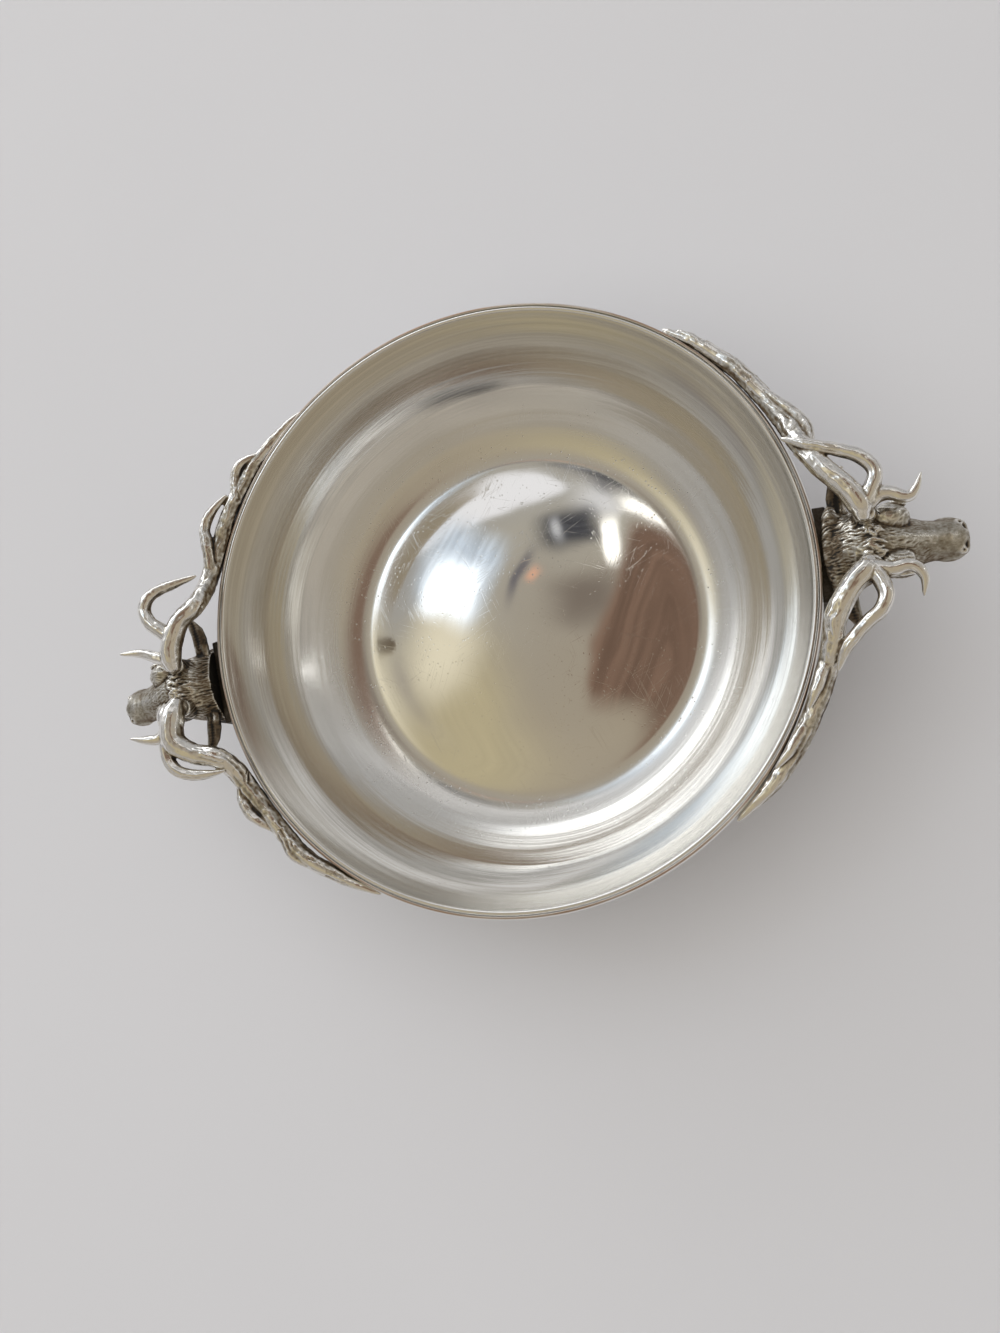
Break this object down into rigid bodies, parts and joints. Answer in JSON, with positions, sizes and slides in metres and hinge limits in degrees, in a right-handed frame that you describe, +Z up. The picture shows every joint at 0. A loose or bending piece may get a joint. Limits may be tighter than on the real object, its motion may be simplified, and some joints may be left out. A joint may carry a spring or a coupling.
{
  "type": "quaich",
  "caption": "Shallow two-handled silver drinking bowl with a domed floor, on a collet foot; each handle is a cast stag's head whose antlers lie along the outside of the rim.",
  "frame": {"origin": "middle of the foot's base, on the bowl's axis, at table height", "axes": "+X to the right handle's side, +Y to the back, +Z up along the bowl's axis"},
  "size_m": [0.1646, 0.1166, 0.04],
  "materials": {
    "polished_silver": "polished, with fine turning rings and use scratches",
    "cast_silver": "polished casting with brown tarnish in the hollows",
    "chased_silver": "chased hair with dark tarnish in the cuts",
    "oxidised_silver": "dull, heavily tarnished"
  },
  "bodies": {
    "root": {"bowl": "polished_silver", "rim_wire": "polished_silver", "foot_ring": "polished_silver", "right_saddle": "oxidised_silver", "left_saddle": "oxidised_silver", "right_stag_head": "chased_silver", "left_stag_head": "chased_silver", "right_back_antler": "cast_silver", "right_front_antler": "cast_silver", "left_back_antler": "cast_silver", "left_front_antler": "cast_silver"}
  },
  "joints": []
}
